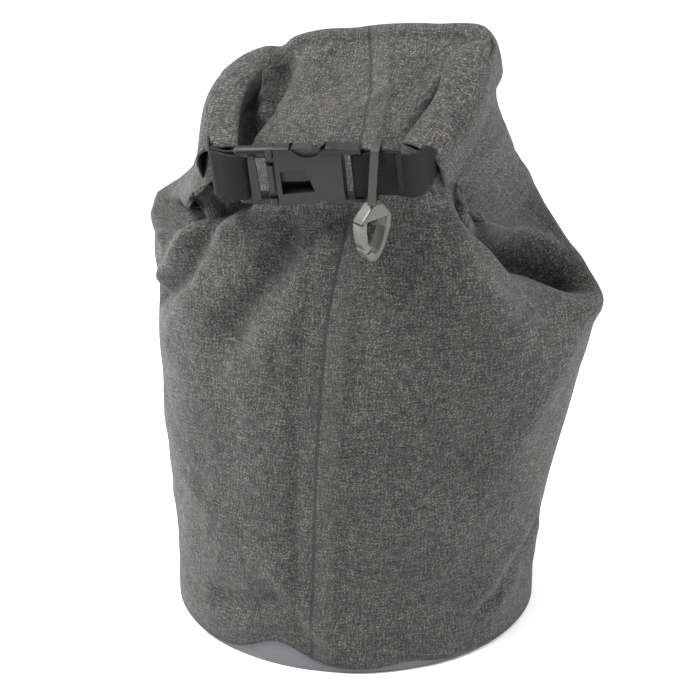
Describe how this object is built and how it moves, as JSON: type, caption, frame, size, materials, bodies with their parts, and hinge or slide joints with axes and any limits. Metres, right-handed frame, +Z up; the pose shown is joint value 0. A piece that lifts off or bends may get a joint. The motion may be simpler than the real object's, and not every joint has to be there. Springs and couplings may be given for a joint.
{
  "type": "roll-top dry bag",
  "caption": "Roll-top dry bag of coated heather fabric with a welded round base, its mouth rolled shut and clipped into a ring by a side-release buckle, with a swivel snap hook on the webbing",
  "frame": {"origin": "centre of the underside of the round base panel", "axes": "+Z up along the bag, which is its longest extent; -Y to the front, where the buckle and the lap seam are; +X to the right seen from the front"},
  "size_m": [0.2479, 0.2024, 0.3379],
  "materials": {
    "heather_fabric": "coated polyester twill in two greys, fine heather slubs, matt",
    "base_sheet": "smooth coated sheet, dark grey, low sheen",
    "seam_tape": "heat-bonded film tape, dull",
    "stiffener": "woven nylon stiffening strip, black",
    "webbing": "ribbed black webbing, 25 mm",
    "thread": "black bonded thread, bar tack",
    "buckle_plastic": "moulded acetal, charcoal, fine satin",
    "hook_plastic": "moulded plastic, warm grey, satin"
  },
  "bodies": {
    "root": {"body_panel": "heather_fabric", "roll_outer_turn": "heather_fabric", "roll_inner_turns": "heather_fabric", "base_panel": "base_sheet", "base_seam_tape": "seam_tape", "front_seam_tape": "seam_tape", "mouth_stiffener_front": "stiffener", "mouth_stiffener_back": "stiffener", "strap_right": "webbing", "bar_tack_right": "thread", "buckle_socket": "buckle_plastic"},
    "left_end": {"roll_left_end_cover": "heather_fabric", "roll_left_end_turns": "heather_fabric", "stiffener_left_front": "stiffener", "stiffener_left_back": "stiffener", "strap_left": "webbing", "bar_tack_left": "thread", "buckle_male_frame": "buckle_plastic"},
    "latch_upper": {"latch_arm_upper": "buckle_plastic"},
    "latch_lower": {"latch_arm_lower": "buckle_plastic"},
    "hook_swivel_eye": {"hook_eye": "hook_plastic"},
    "hook": {"hook_body": "hook_plastic"},
    "gate": {"hook_gate": "hook_plastic"}
  },
  "joints": [
    {"name": "left_end_release", "type": "slide", "parent": "root", "child": "left_end", "axis": [-0.9927, -0.1043, -0.061], "range_m": [0, 0.028], "deforming": ["latch_arm_upper", "latch_arm_lower"]},
    {"name": "latch_upper_squeeze", "type": "hinge", "parent": "left_end", "child": "latch_upper", "pos_m": [-0.0203, -0.09504, 0.28287], "axis": [-0.1166, 0.9593, 0.2571], "range_deg": [0, 10], "stiffness_Nm_per_rad": 1.2},
    {"name": "latch_lower_squeeze", "type": "hinge", "parent": "left_end", "child": "latch_lower", "pos_m": [-0.01969, -0.09001, 0.26435], "axis": [0.1166, -0.9593, -0.2571], "range_deg": [0, 10], "stiffness_Nm_per_rad": 1.2},
    {"name": "hook_slide", "type": "slide", "parent": "root", "child": "hook_swivel_eye", "axis": [0.9927, 0.1043, 0.061], "range_m": [0, 0.007]},
    {"name": "hook_swivel", "type": "hinge", "parent": "hook_swivel_eye", "child": "hook", "pos_m": [0.02996, -0.08634, 0.26374], "axis": [0.0696, -0.0869, 0.9938], "continuous": true},
    {"name": "gate_open", "type": "hinge", "parent": "hook", "child": "gate", "pos_m": [0.02546, -0.08839, 0.23741], "axis": [-0.8489, 0.518, 0.1048], "range_deg": [0, 13], "stiffness_Nm_per_rad": 0.03}
  ]
}
